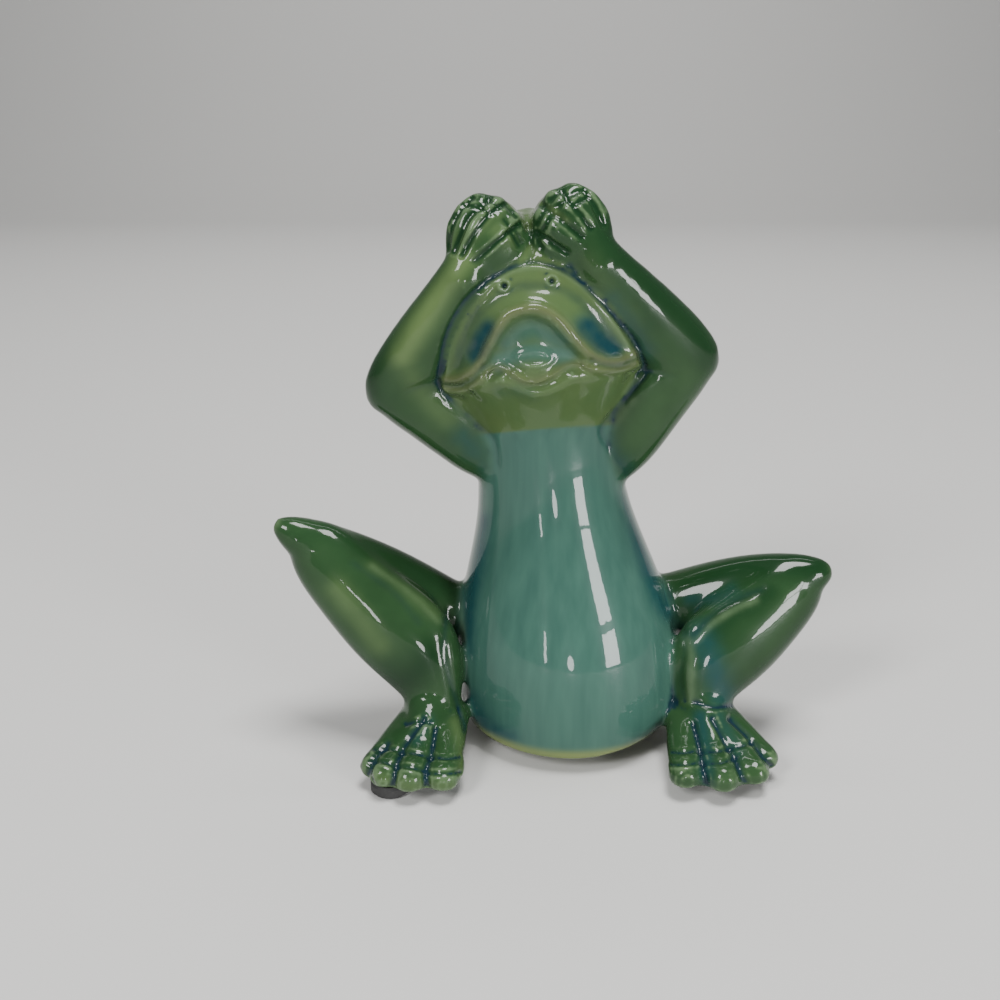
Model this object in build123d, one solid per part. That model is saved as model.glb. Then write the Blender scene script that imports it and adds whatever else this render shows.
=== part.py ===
from build123d import *
import math
import os

# A glazed ceramic frog that sits upright and holds both hands over its eyes.
# The figure is cast in five pieces, which are joined with slip before the firing: the hollow body
# with its head, two arms and two legs. Four rubber pads under the feet and the seat lift it off
# the table. Right and left are the frog's own sides.
# Lengths are millimetres and angles are degrees. X runs to the frog's left, Y to its back, Z up.
# The origin is the middle of the foot of the whole figure's box.

# Rubber pads
pad_radius = 4.8
pad_height = 3.0
pad_bevel = 0.6
right_foot_pad_reach = 45.3
right_foot_pad_forward = 32.5
left_foot_pad_reach = 36.0
left_foot_pad_forward = 27.0
seat_pad_reach = 12.5
seat_pad_back = 11.0

# Body casting: the trunk from the flat seat to the neck
lean_angle = 6.0
trunk_height = 79.0
trunk_width = 57.6
trunk_depth = 54.0
wall = 4.0
vent_radius = 4.0
trunk_shares = (
    # height, half width, half depth, set back
    (0.000, 0.86, 0.93, 0.000),
    (0.040, 0.95, 0.98, 0.000),
    (0.140, 1.00, 1.00, 0.000),
    (0.290, 0.98, 0.98, 0.010),
    (0.455, 0.88, 0.89, 0.035),
    (0.595, 0.76, 0.80, 0.055),
    (0.735, 0.66, 0.71, 0.070),
    (0.875, 0.62, 0.65, 0.070),
)

# Body casting: the head from the neck to the crown
head_height = 51.0
head_width = 46.8
head_depth = 44.0
head_shares = (
    # height, half width, half depth, set back
    (0.00, 0.78, 0.77, 0.065),
    (0.12, 0.88, 0.84, 0.035),
    (0.24, 0.98, 0.94, -0.010),
    (0.36, 1.02, 1.00, -0.030),
    (0.49, 1.00, 0.98, -0.045),
    (0.61, 0.95, 0.91, -0.045),
    (0.73, 0.86, 0.79, -0.035),
    (0.84, 0.70, 0.62, -0.020),
    (0.93, 0.48, 0.43, -0.010),
    (0.98, 0.24, 0.22, -0.010),
    (1.00, 0.05, 0.05, -0.010),
)

# Eye bulges
eye_radius = 8.9
eye_spacing = 18.6
eye_height = 128.4
eye_forward = 9.0

# Face
mouth_width = 45.0
mouth_height = 97.6
mouth_recess = 2.4
lip_radius = 1.25
lip_bend_share = 1.1
upper_lip_rise = 15.7
upper_lip_shares = ((-0.94, 0.03), (-0.66, 0.06), (-0.45, 0.61), (-0.30, 0.91), (-0.08, 1.01),
                    (0.13, 0.86), (0.31, 0.52), (0.53, 0.09), (0.92, 0.09))
lower_lip_rise = 2.5
lower_lip_shares = ((-0.94, -0.80), (-0.72, -1.20), (-0.52, -0.10), (-0.38, 0.50), (-0.25, -0.35),
                    (-0.08, -1.20), (0.11, -0.84), (0.28, 0.10), (0.46, -0.27), (0.70, -0.85),
                    (0.93, -0.64))
tongue_width = 8.4
tongue_height = 4.2
tongue_rise = 2.6
tongue_shift = -1.6
nostril_spacing = 11.0
nostril_shift = -1.4
nostril_height = 118.6
nostril_radius = 0.7
nostril_depth = 2.0

# Arm castings, before the figure leans
left_shoulder_reach = 15.6
left_shoulder_height = 70.6
right_shoulder_reach = 13.0
right_shoulder_height = 73.8
elbow_reach = 35.3
elbow_height = 96.0
elbow_forward = 6.0
wrist_reach = 15.0
wrist_height = 120.4
wrist_forward = 14.5
arm_width = 14.6
arm_thickness = 13.4
wrist_radius = 5.6
upper_arm_shares = (
    # along, sideways, width, thickness
    (-0.10, 0.0, 0.70, 0.70),
    (0.10, -0.01, 0.94, 0.95),
    (0.40, -0.08, 1.16, 1.00),
    (0.75, -0.10, 1.18, 0.98),
    (1.00, -0.02, 0.90, 0.90),
    (1.12, 0.0, 0.64, 0.68),
    (1.19, 0.0, 0.30, 0.30),
)
forearm_shares = (
    (-0.20, 0.0, 0.30, 0.30),
    (-0.14, 0.0, 0.62, 0.66),
    (0.00, -0.03, 0.96, 0.92),
    (0.22, -0.07, 1.14, 1.00),
    (0.50, -0.02, 1.01, 0.98),
    (0.78, 0.0, 0.88, 0.86),
    (1.00, 0.0, 0.82, 0.76),
    (1.14, 0.0, 0.60, 0.54),
)

# Hands: a thumb and four fingers fanned over each eye bulge, each with its knuckles
palm_radius = 5.2
finger_radius = 2.75
finger_lift = 7.6
finger_shares = (
    # root direction, then tip direction, from the bulge's centre: inward, forward, up
    (-0.05, 0.66, -0.86, 0.90, 0.52, -0.42),
    (-0.20, 0.72, -0.72, 0.90, 0.58, -0.08),
    (-0.42, 0.79, -0.45, 0.76, 0.54, 0.40),
    (-0.60, 0.75, -0.28, 0.38, 0.40, 0.83),
    (-0.86, 0.48, -0.18, -0.10, 0.28, 0.96),
)
finger_bone_shares = ((0.00, 0.30, 1.00), (0.36, 0.66, 1.00), (0.84, 1.00, 0.96))

# Leg castings: thigh and shin
hip_reach = 14.0
hip_back = 7.0
left_hip_height = 27.0
left_knee_reach = 55.5
left_knee_height = 42.5
left_ankle_reach = 32.0
right_hip_height = 16.5
right_knee_reach = 65.0
right_knee_height = 51.2
right_ankle_reach = 36.5
knee_forward = 3.5
ankle_height = 12.0
ankle_forward = 14.0
thigh_width = 18.4
thigh_thickness = 16.0
shin_width = 23.0
shin_thickness = 14.0
thigh_shares = (
    # along, sideways, width, thickness
    (-0.10, 0.0, 0.88, 0.90),
    (0.05, 0.0, 0.91, 0.96),
    (0.27, 0.0, 0.95, 1.00),
    (0.57, 0.0, 1.00, 0.96),
    (0.80, 0.0, 0.92, 0.86),
    (1.00, 0.0, 0.70, 0.72),
    (1.12, 0.0, 0.46, 0.50),
    (1.19, 0.0, 0.16, 0.18),
)
shin_shares = (
    (-0.10, -0.04, 0.40, 0.56),
    (0.00, -0.12, 0.60, 0.76),
    (0.14, -0.21, 0.84, 0.88),
    (0.34, -0.21, 1.04, 1.00),
    (0.60, -0.11, 0.98, 1.00),
    (0.88, -0.02, 0.82, 0.90),
    (1.00, 0.00, 0.68, 0.76),
    (1.08, 0.01, 0.46, 0.52),
    (1.14, 0.01, 0.16, 0.20),
)

# Feet: four toes each, with three bones a toe, over a low web
foot_length = 26.0
foot_width = 28.0
toe_radius = 4.1
toe_root_height = 9.4
toe_tip_height = 5.4
instep_radius = 6.8
web_height = 8.8
left_toe_shares = (
    # root across, tip across, tip forward, thickness
    (-0.20, -0.28, 0.80, 0.98),
    (-0.03, 0.03, 0.86, 1.00),
    (0.11, 0.32, 0.75, 0.92),
    (0.19, 0.46, 0.52, 0.82),
)
right_toe_shares = (
    (-0.20, -0.14, 0.85, 0.98),
    (-0.02, 0.14, 0.86, 1.00),
    (0.09, 0.36, 0.80, 0.90),
    (0.17, 0.47, 0.66, 0.80),
)
toe_bone_shares = ((0.00, 0.58, 1.00), (0.69, 0.77, 0.98), (0.90, 1.00, 1.00))
web_shares = (
    # along, sideways, width, thickness
    (-0.05, 0.0, 0.44, 0.90),
    (0.10, 0.0, 0.50, 1.00),
    (0.40, 0.0, 0.66, 0.94),
    (0.70, 0.0, 0.82, 0.76),
    (0.84, 0.0, 0.72, 0.54),
    (0.90, 0.0, 0.50, 0.34),
)

# The hollow has this many flat sides
hollow_sides = 24

# Cutting tools reach this far past what they cut
overrun = 5.0

lean = Rotation(0, -lean_angle, 0)
seat = Pos(0, 0, pad_height)


def oval(plane, half_width, half_depth):
    """A flat oval on a plane, as long along the plane's x as half_width each way."""
    return plane * Ellipse(half_width, half_depth)


def leaf(start, finish, across, width, thickness, outline_shares):
    """A limb: ovals square to the line from start to finish, blended into one skin."""
    axis = finish - start
    side = (across - axis * (across.dot(axis) / axis.dot(axis))).normalized()
    ovals = []
    for along, sideways, wide, thick in outline_shares:
        centre = start + axis * along + side * (width * sideways)
        plane = Plane(origin=centre, x_dir=side, z_dir=axis)
        ovals.append(oval(plane, width / 2 * wide, thickness / 2 * thick))
    return loft(ovals)


def bone(start, finish, start_radius, finish_radius):
    """A bar with round ends that tapers from one radius to the other."""
    axis = finish - start
    tilt = math.degrees(math.asin((start_radius - finish_radius) / axis.length))
    lower = CenterArc((0, 0), start_radius, -90, 90 + tilt)
    upper = CenterArc((0, axis.length), finish_radius, tilt, 90 - tilt)
    outline = Curve() + [lower, Line(lower @ 1, upper @ 0), upper, Line(upper @ 1, lower @ 0)]
    return Plane(origin=start, z_dir=axis) * revolve(Plane.XZ * make_face(outline), Axis.Z)


def body_rings(margin):
    """Centre, half width and half depth of each level of the body, drawn in by a margin."""
    rings = []
    for height, wide, deep, back in trunk_shares:
        centre = Vector(0, trunk_depth * back, pad_height + trunk_height * height)
        rings.append((centre, trunk_width / 2 * wide - margin, trunk_depth / 2 * deep - margin))
    for height, wide, deep, back in head_shares:
        centre = Vector(0, head_depth * back, pad_height + trunk_height + head_height * height)
        rings.append((centre, head_width / 2 * wide - margin, head_depth / 2 * deep - margin))
    floor = pad_height + margin
    crown = pad_height + trunk_height + head_height - margin
    return [ring for ring in rings if floor <= ring[0].Z <= crown and min(ring[1:]) > 0]


def body_skin(margin):
    """The trunk and head as one smooth solid, drawn in by a margin on every side."""
    return loft([oval(Plane(origin=centre), wide, deep) for centre, wide, deep in body_rings(margin)])


def hollow():
    """The space inside the body, a wall's thickness under the skin, with flat sides."""
    rings = body_rings(wall)
    foot, wide, deep = rings[0]
    levels = [(Vector(foot.X, foot.Y, pad_height + wall), wide - wall, deep - wall)] + rings
    faces = []
    for centre, wide, deep in levels:
        corners = [(wide * math.cos(turn), deep * math.sin(turn)) for turn in hollow_turns()]
        faces.append(Plane(origin=centre) * make_face(Polyline(corners, close=True)))
    return loft(faces)


def hollow_turns():
    """The direction of each corner of the hollow."""
    return [2 * math.pi * corner / hollow_sides for corner in range(hollow_sides)]


def face_point(across, height):
    """The point of the face's surface at a distance across and a height."""
    rings = body_rings(0)
    for lower, upper in zip(rings, rings[1:]):
        if lower[0].Z <= height <= upper[0].Z:
            share = (height - lower[0].Z) / (upper[0].Z - lower[0].Z)
            wide = lower[1] + (upper[1] - lower[1]) * share
            deep = lower[2] + (upper[2] - lower[2]) * share
            middle = lower[0].Y + (upper[0].Y - lower[0].Y) * share
            bend = math.sqrt(max(0, 1 - (across / wide) ** 2))
            return Vector(across, middle - deep * bend, height)


def lip_points(lip_shares, rise):
    """Points of one lip on the face's surface."""
    return [face_point(mouth_width / 2 * across, mouth_height + rise * up) for across, up in lip_shares]


def lip(lip_shares, rise):
    """A round roll along a lip's points: a ball at each bend and a bar between two bends."""
    points = lip_points(lip_shares, rise)
    roll = Part()
    for point in points:
        roll += Pos(point) * Sphere(lip_radius * lip_bend_share)
    for start, finish in zip(points, points[1:]):
        plane = Plane(origin=(start + finish) / 2, z_dir=finish - start)
        roll += plane * Cylinder(lip_radius, (finish - start).length)
    return roll


def mouth_hollow():
    """What is cut away between the lips, a little under the face's surface."""
    upper_points = lip_points(upper_lip_shares, upper_lip_rise)
    lower_points = lip_points(lower_lip_shares, lower_lip_rise)
    around = upper_points + lower_points[::-1]
    outline = Polyline([Vector(point.X, 0, point.Z) for point in around], close=True)
    slab = extrude(make_face(outline), amount=head_depth, dir=(0, -1, 0))
    return slab - body_skin(mouth_recess)


def eye_centre(side):
    return Vector(side * eye_spacing / 2, -eye_forward, eye_height)


def plain_body():
    """The upright trunk, head and eye bulges, without the face."""
    body = body_skin(0)
    for side in (-1, 1):
        body += Pos(eye_centre(side)) * Sphere(eye_radius)
    return body


def solid_body(upper_lip, lower_lip):
    """The upright body with its face, without the hollow."""
    body = plain_body() - mouth_hollow() + upper_lip + lower_lip
    tongue = face_point(tongue_shift, mouth_height + tongue_rise) + Vector(0, mouth_recess, 0)
    flatter = (1, 2 * mouth_recess / tongue_width, tongue_height / tongue_width)
    body += Pos(tongue) * scale(Sphere(tongue_width / 2), by=flatter)
    for side in (-1, 1):
        entry = face_point(side * nostril_spacing / 2 + nostril_shift, nostril_height)
        body -= Pos(entry) * Rotation(90, 0, 0) * Cylinder(nostril_radius, 2 * nostril_depth)
    return body


def above_table(part):
    """The part cut flat at the level of the pads' tops."""
    size = 2 * (trunk_height + head_height)
    return part - Pos(0, 0, pad_height - size / 2) * Box(size, size, size)


def lean_over(part):
    """Lean the upright figure to its right about the middle of the seat."""
    return seat * lean * seat.inverse() * part


def finger(side, table_row):
    """One finger: three short bars that follow the eye bulge."""
    root = Vector(-side * table_row[0], -table_row[1], table_row[2]).normalized()
    tip = Vector(-side * table_row[3], -table_row[4], table_row[5]).normalized()
    spread = math.acos(root.dot(tip))

    def on_bulge(share):
        first = root * (math.sin((1 - share) * spread) / math.sin(spread))
        second = tip * (math.sin(share * spread) / math.sin(spread))
        return eye_centre(side) + (first + second) * finger_lift

    bars = []
    for begin, end, thick in finger_bone_shares:
        radius = finger_radius * thick
        bars.append(bone(on_bulge(begin), on_bulge(end), radius, radius))
    return bars


def arm(side, shoulder_reach, shoulder_height, body, upper_lip, lower_lip):
    """One arm casting: upper arm, forearm, palm and fingers."""
    shoulder = Vector(side * shoulder_reach, 0, shoulder_height)
    elbow = Vector(side * elbow_reach, -elbow_forward, elbow_height)
    wrist = Vector(side * wrist_reach, -wrist_forward, wrist_height)
    outward = Vector(side, 0, 0)
    solid = leaf(shoulder, elbow, outward, arm_width, arm_thickness, upper_arm_shares)
    solid += leaf(elbow, wrist, outward, arm_width, arm_thickness, forearm_shares)
    palm = eye_centre(side) + Vector(side * eye_radius / 3, -eye_radius / 2, -eye_radius / 4)
    solid += bone(wrist, palm, wrist_radius, palm_radius)
    for table_row in finger_shares:
        for bar in finger(side, table_row):
            solid += bar
    size = 2 * (trunk_height + head_height)
    solid -= Pos(-side * size / 2, 0, size / 2) * Box(size, size, size)
    return lean_over(solid - upper_lip - lower_lip) - body


def foot(side, ankle_reach, toe_shares):
    """Instep, web and toes, still round underneath."""
    ankle = Vector(side * ankle_reach, -ankle_forward, ankle_height)
    roots = [Vector(side * (ankle_reach + foot_width * row[0]), -ankle_forward, toe_root_height)
             for row in toe_shares]
    tips = [Vector(side * (ankle_reach + foot_width * row[1]), -ankle_forward - foot_length * row[2],
                   toe_tip_height) for row in toe_shares]
    front = (tips[0] + tips[1] + tips[2]) / 3
    heel = Vector(ankle.X, ankle.Y, pad_height + web_height / 3)
    toes_end = Vector(front.X, -ankle_forward - foot_length, pad_height + web_height / 4)
    solid = bone(ankle, (ankle + front) / 2, instep_radius, toe_radius)
    solid += leaf(heel, toes_end, Vector(1, 0, 0), foot_width, web_height, web_shares)
    for root, tip, row in zip(roots, tips, toe_shares):
        for begin, end, bone_share in toe_bone_shares:
            radius = toe_radius * row[3] * bone_share
            solid += bone(root + (tip - root) * begin, root + (tip - root) * end, radius, radius)
    return solid


def leg(side, hip_height, knee_reach, knee_height, ankle_reach, toe_shares, body):
    """One leg casting: thigh, shin and foot."""
    hip = Vector(side * hip_reach, hip_back, hip_height)
    knee = Vector(side * knee_reach, -knee_forward, knee_height)
    ankle = Vector(side * ankle_reach, -ankle_forward, ankle_height)
    solid = leaf(hip, knee, Vector(0, 0, 1), thigh_width, thigh_thickness, thigh_shares)
    down_and_out = Vector(side * (knee.Z - ankle.Z), 0, -abs(knee.X - ankle.X))
    solid += leaf(ankle, knee, down_and_out, shin_width, shin_thickness, shin_shares)
    solid += foot(side, ankle_reach, toe_shares)
    return above_table(solid) - body


def pad(across, back):
    """One round rubber pad with bevelled edges, standing on the table."""
    disc = Pos(across, back, pad_height / 2) * Cylinder(pad_radius, pad_height)
    return chamfer(disc.edges().filter_by(GeomType.CIRCLE), pad_bevel)


def build():
    """All pieces by name, before they are centred."""
    lips = (lip(upper_lip_shares, upper_lip_rise), lip(lower_lip_shares, lower_lip_rise))
    outer = above_table(lean_over(solid_body(*lips)))
    plain = lean_over(plain_body())
    vent = Pos(0, 0, pad_height) * Cylinder(vent_radius, 2 * (wall + overrun))
    pieces = {"body_casting": outer - lean_over(hollow()) - vent}
    pieces["left_arm_casting"] = arm(1, left_shoulder_reach, left_shoulder_height, plain, *lips)
    pieces["right_arm_casting"] = arm(-1, right_shoulder_reach, right_shoulder_height, plain, *lips)
    pieces["left_leg_casting"] = leg(1, left_hip_height, left_knee_reach, left_knee_height,
                                     left_ankle_reach, left_toe_shares, plain)
    pieces["right_leg_casting"] = leg(-1, right_hip_height, right_knee_reach, right_knee_height,
                                      right_ankle_reach, right_toe_shares, plain)
    pieces["left_foot_pad"] = pad(left_foot_pad_reach, -left_foot_pad_forward)
    pieces["right_foot_pad"] = pad(-right_foot_pad_reach, -right_foot_pad_forward)
    pieces["left_seat_pad"] = pad(seat_pad_reach, seat_pad_back)
    pieces["right_seat_pad"] = pad(-seat_pad_reach, seat_pad_back)
    return pieces


os.makedirs("parts", exist_ok=True)
pieces = build()
boxes = [piece.bounding_box() for piece in pieces.values()]
middle_x = (min(box.min.X for box in boxes) + max(box.max.X for box in boxes)) / 2
middle_y = (min(box.min.Y for box in boxes) + max(box.max.Y for box in boxes)) / 2
for name, piece in pieces.items():
    export_step(Pos(-middle_x, -middle_y, 0) * piece, "parts/" + name + ".step")
print("middle of the box before it is moved to the origin:", middle_x, middle_y)
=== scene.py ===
import math

import bmesh
import bpy
import numpy as np
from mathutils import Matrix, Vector
from mathutils.bvhtree import BVHTree


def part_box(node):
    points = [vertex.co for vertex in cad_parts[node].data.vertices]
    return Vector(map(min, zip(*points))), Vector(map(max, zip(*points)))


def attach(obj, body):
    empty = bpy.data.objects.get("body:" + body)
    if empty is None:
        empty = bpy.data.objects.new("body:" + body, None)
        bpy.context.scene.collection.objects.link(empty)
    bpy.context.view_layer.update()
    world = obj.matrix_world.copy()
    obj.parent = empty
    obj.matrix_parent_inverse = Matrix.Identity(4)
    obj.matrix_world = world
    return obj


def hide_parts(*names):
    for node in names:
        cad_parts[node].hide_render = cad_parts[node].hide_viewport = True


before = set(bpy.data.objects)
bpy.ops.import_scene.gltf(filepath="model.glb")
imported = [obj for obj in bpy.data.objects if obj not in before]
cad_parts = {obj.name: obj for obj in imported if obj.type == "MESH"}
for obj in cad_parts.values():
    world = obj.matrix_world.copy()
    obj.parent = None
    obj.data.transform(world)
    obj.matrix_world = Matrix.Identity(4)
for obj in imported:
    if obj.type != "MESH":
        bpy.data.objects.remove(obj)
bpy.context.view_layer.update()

mm = 0.001

# The five glazed castings are shown as one continuous skin, as the glaze covers their joints.
# It is modelled in one go, and then parted along the joints into one piece for each casting.
castings = ("body", "left_arm", "right_arm", "left_leg", "right_leg")
pads = ("left_foot_pad", "right_foot_pad", "left_seat_pad", "right_seat_pad")
skin_voxel = 0.735 * mm
merge_distance = 0.001 * mm

# The right seat pad's middle lies this far from the middle of the body's foot
seat_pad_place = Vector((-12.5, 11.0, 0.0)) * mm

# Camera, measured from the middle of the body's foot. The focal length and the picture's size are
# in pixels, the sensor's width is in millimetres.
camera_place = Vector((-19.3, -259.0, 150.0)) * mm
camera_pitch = math.radians(18.8)
camera_focal = 1100.0
camera_sensor = 36.0
camera_near = 0.01
picture_size = 1000.0

# The vent hole under the body: its wall's faces are upright, lie within vent_reach of its middle and
# vent_search of the underside, and a recess vent_depth deep stays
vent_reach = 4.3 * mm
vent_search = 8.0 * mm
vent_depth = 6.0 * mm
upright_limit = 0.1

# Smoothing the skin, by the width in millimetres of the forms that it evens out
joint_smoothing = 0.75
crease_filling = 1.3
toe_crease_filling = 1.7
mouth_form_smoothing = 1.4
groove_smoothing = 0.35
# Smoothing it by rounds, after the faces are made smaller, in the hands and toes, and at the end
refined_rounds = 3
hand_rounds = 5
finished_rounds = 2
# How far a crease rises and a ridge sinks in one round of filling, as a share of the whole way
crease_rise = 0.5
ridge_fall = 0.12

# Faces are made smaller in these boxes of the picture: left, top, right, bottom, and the cuts that
# each edge gets there. Skin further back than detail_back behind the body's foot is left out.
detail_boxes = (
    (436, 262, 652, 402, 1),
    (430, 178, 620, 262, 2),
    (350, 706, 470, 805, 2),
    (664, 700, 800, 805, 2),
    (497, 278, 512, 293, 1),
    (545, 273, 560, 288, 1),
)
detail_back = 8 * mm
# After the cuts most of the fine forms lie on faces of this size
fine_cell = skin_voxel / 2
# The toes show in these boxes: left, top, right, bottom. The zone fades in over these pixels.
toe_boxes = ((350, 722, 467, 805), (668, 708, 800, 805))
toe_side_fade = 4
toe_top_fade = 12
# Heights in the picture: all skin above the first is in the hands, or is the crown between them,
# and none below the second
hand_fall = (250, 270)
# the crown above this height is darkened with painted shade
crown_fall = (216, 232)

# A vertex belongs to the casting that is nearest to it, no further away than this
share_reach = 2.5 * mm
far_away = 1.0
# The steeper the skin turns away from the camera, the less strokes work on it; up to about 70
# degrees they work fully
facing_gain = 3.0
# A stroke ends at this many times its width, and bends in this many steps from point to point
stroke_tail = 2.6
stroke_steps = 5

# Strokes of the modelling tool, after the longer lines that they follow. Each row says which castings
# it works on, its width and its height in millimetres, where a height below zero is a groove, and its
# points. The points are pixels in the picture's frame, and a stroke works on the skin that shows there.
upper_lip_line = ((441, 379), (457, 379.5), (470, 373), (480, 362), (489, 344), (499, 326), (511, 313.5),
                  (532, 308), (548, 312), (562, 322.5), (575, 338), (590, 353.5), (606, 361), (622, 360),
                  (636, 353))
lower_lip_line = ((440, 387), (459, 390), (475, 384), (489, 371), (499, 367), (511, 373), (524, 380),
                  (538, 381), (552, 374.5), (565, 366), (578, 364), (594, 368.5), (612, 370), (627, 367),
                  (638, 362))
flange_line = ((447, 371), (450, 345), (461, 318), (480, 294), (504, 275.5), (530, 268), (560, 272),
               (588, 291), (609, 317), (624, 340), (633, 358))
inner_flange_line = ((458, 366), (461, 345), (470, 325), (487, 305), (509, 291), (531, 286), (560, 289),
                     (584, 305), (604, 327), (618, 347))
muzzle_crease = ((438, 379), (445, 340), (458, 311), (474, 292), (493, 278), (513, 268), (532, 262),
                 (552, 266), (574, 278), (592, 294), (608, 310), (622, 326), (635, 343), (644, 366))
left_elbow_crease = ((645, 371), (657, 373), (673, 376.5))
right_elbow_crease = ((440, 381), (425, 385), (407, 392))
right_chin_crease = ((439, 384), (447, 399), (468, 418), (490, 436), (496, 450), (497, 466))
left_chin_crease = ((645, 376), (624, 401), (601, 429), (611, 449), (626, 474))
mouth_shelf_line = ((500, 362), (520, 354), (540, 352), (566, 356))
right_belly_crease = ((447, 612), (444, 648), (448, 672), (455, 696), (466, 730))
left_belly_crease = ((670, 589), (678, 616), (685, 639), (683, 655), (680, 680), (685, 700))
chin_line = ((455, 396), (480, 392), (504, 388), (530, 395), (556, 388), (590, 380), (625, 376))

face_strokes = (
    # the lips, and the grooves in the corners of the mouth
    (("body",), 1.25, 1.15, upper_lip_line),
    (("body",), 1.05, 0.95, lower_lip_line),
    (("body",), 0.90, -0.50, ((442, 383), (460, 385.5), (474, 378), (484, 366))),
    (("body",), 0.90, -0.50, ((636, 357), (622, 364.5), (606, 365), (592, 360.5))),
    # the flange around the muzzle, and the hollows in the cheeks
    (("body",), 0.85, 0.55, flange_line),
    (("body",), 1.50, -0.50, inner_flange_line),
    (("body",), 2.60, -0.70, ((476, 350), (484, 333))),
    (("body",), 2.60, -0.70, ((590, 330), (604, 344))),
    # creases around the muzzle, beside and on the chin, and at the elbows
    (("body", "left_arm", "right_arm"), 0.60, -0.55, muzzle_crease),
    (("body", "right_arm"), 0.60, -0.45, right_chin_crease),
    (("body", "left_arm"), 0.60, -0.45, left_chin_crease),
    (("body",), 0.70, -0.30, ((488, 374), (499, 371.5), (512, 378), (525, 385), (538, 386), (553, 380))),
    (("left_arm",), 0.60, -0.50, left_elbow_crease),
    (("right_arm",), 0.60, -0.50, right_elbow_crease),
)
# The small raised oval in the mouth: its middle and its reach across and down are pixels, its rise
# and width are millimetres. It has no effect further out than ring_limit times its reach.
ring_middle = (534.0, 358.5)
ring_reach = (17.0, 7.5)
ring_rise = 0.35
ring_width = 0.45
ring_limit = 2.5
# The nostrils: places, reaches and widths are pixels, rise and sink are millimetres
nostrils = ((504.0, 285.6), (552.0, 280.8))
nostril_rim_reach = 5.2
nostril_rim_width = 2.4
nostril_pit_width = 2.9
# The nostril pits are darkened with painted shade over this width, in the navy of the pooled glaze
nostril_shade_width = 3.0
nostril_rim_rise = 0.30
nostril_sink = -0.90

hand_strokes = (
    # between the fingers of the right hand, from the thumb to the outer side
    (("right_arm",), 0.58, -0.75, ((474, 262), (492, 246), (509, 232), (524, 221))),
    (("right_arm",), 0.58, -0.75, ((462, 255), (473, 236), (487, 217), (502, 205), (510, 202))),
    (("right_arm",), 0.58, -0.75, ((454, 252), (461, 234), (469, 217), (482, 205), (490, 197))),
    (("right_arm",), 0.58, -0.75, ((447, 250), (449.5, 232), (459, 210), (472, 197))),
    (("right_arm", "body"), 0.50, -0.35, ((444, 245), (445.5, 227), (452, 212))),
    # its finger joints
    (("right_arm",), 0.55, -0.50, ((510, 231), (518.5, 246))),
    (("right_arm",), 0.55, -0.40, ((514, 228.5), (522, 243))),
    (("right_arm",), 0.55, -0.50, ((498, 214), (508, 225))),
    (("right_arm",), 0.55, -0.40, ((508, 207), (517, 217))),
    (("right_arm",), 0.55, -0.50, ((478, 206.5), (489, 211.5))),
    (("right_arm",), 0.55, -0.40, ((488, 199), (498, 205.5))),
    (("right_arm",), 0.55, -0.45, ((462, 203), (473, 206))),
    # where the thumbs meet
    (("right_arm", "left_arm", "body"), 0.55, -0.50, ((529, 226), (531, 243), (529, 261))),
    # between the fingers of the left hand
    (("left_arm",), 0.58, -0.75, ((567, 253), (552, 243), (536, 232))),
    (("left_arm",), 0.58, -0.75, ((582, 237), (567, 224), (552, 211), (541, 204))),
    (("left_arm",), 0.58, -0.75, ((591, 229), (580, 214), (570, 202), (563, 191))),
    (("left_arm",), 0.58, -0.75, ((604, 225), (594, 205), (584, 190))),
    # its finger joints
    (("left_arm",), 0.55, -0.50, ((541, 247), (535, 235))),
    (("left_arm",), 0.55, -0.50, ((543, 229), (551, 215))),
    (("left_arm",), 0.55, -0.40, ((537, 224), (544, 211))),
    (("left_arm",), 0.55, -0.50, ((555, 209), (566, 199))),
    (("left_arm",), 0.55, -0.40, ((550, 200), (560, 191))),
    (("left_arm",), 0.55, -0.50, ((576, 203), (587, 197))),
    (("left_arm",), 0.55, -0.40, ((570, 195), (580, 190))),
)

foot_strokes = (
    # between the toes of the right foot, then its toe joints
    (("right_leg",), 0.75, -0.80, ((436, 729), (432, 750), (426, 771), (427, 792))),
    (("right_leg",), 0.75, -0.80, ((424, 718), (413, 733), (402, 750), (395, 769), (392, 786))),
    (("right_leg",), 0.75, -0.80, ((388, 743), (375, 757), (368, 772), (371, 784))),
    (("right_leg",), 0.55, -0.45, ((432, 756), (446, 758), (460, 757))),
    (("right_leg",), 0.55, -0.40, ((428, 773), (445, 774), (461, 772))),
    (("right_leg",), 0.55, -0.45, ((401, 752), (415, 753), (431, 757))),
    (("right_leg",), 0.55, -0.40, ((395, 766), (410, 767), (426, 771))),
    (("right_leg",), 0.55, -0.45, ((374, 749), (387, 748), (402, 751))),
    (("right_leg",), 0.55, -0.40, ((369, 761), (381, 761), (395, 765))),
    # the same on the left foot
    (("left_leg",), 0.75, -0.80, ((693, 724), (699, 745), (703, 765), (706, 789))),
    (("left_leg",), 0.75, -0.80, ((712, 718), (727, 744), (735, 757), (745, 782))),
    (("left_leg",), 0.75, -0.80, ((731, 719), (752, 740), (772, 767))),
    (("left_leg",), 0.55, -0.45, ((671, 752), (686, 752), (701, 749))),
    (("left_leg",), 0.55, -0.40, ((670, 764), (687, 764), (703, 761))),
    (("left_leg",), 0.55, -0.45, ((702, 751), (718, 751), (732, 747))),
    (("left_leg",), 0.55, -0.40, ((704, 763), (722, 762), (738, 756))),
    (("left_leg",), 0.55, -0.45, ((732, 747), (743, 745), (753, 741))),
)

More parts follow.
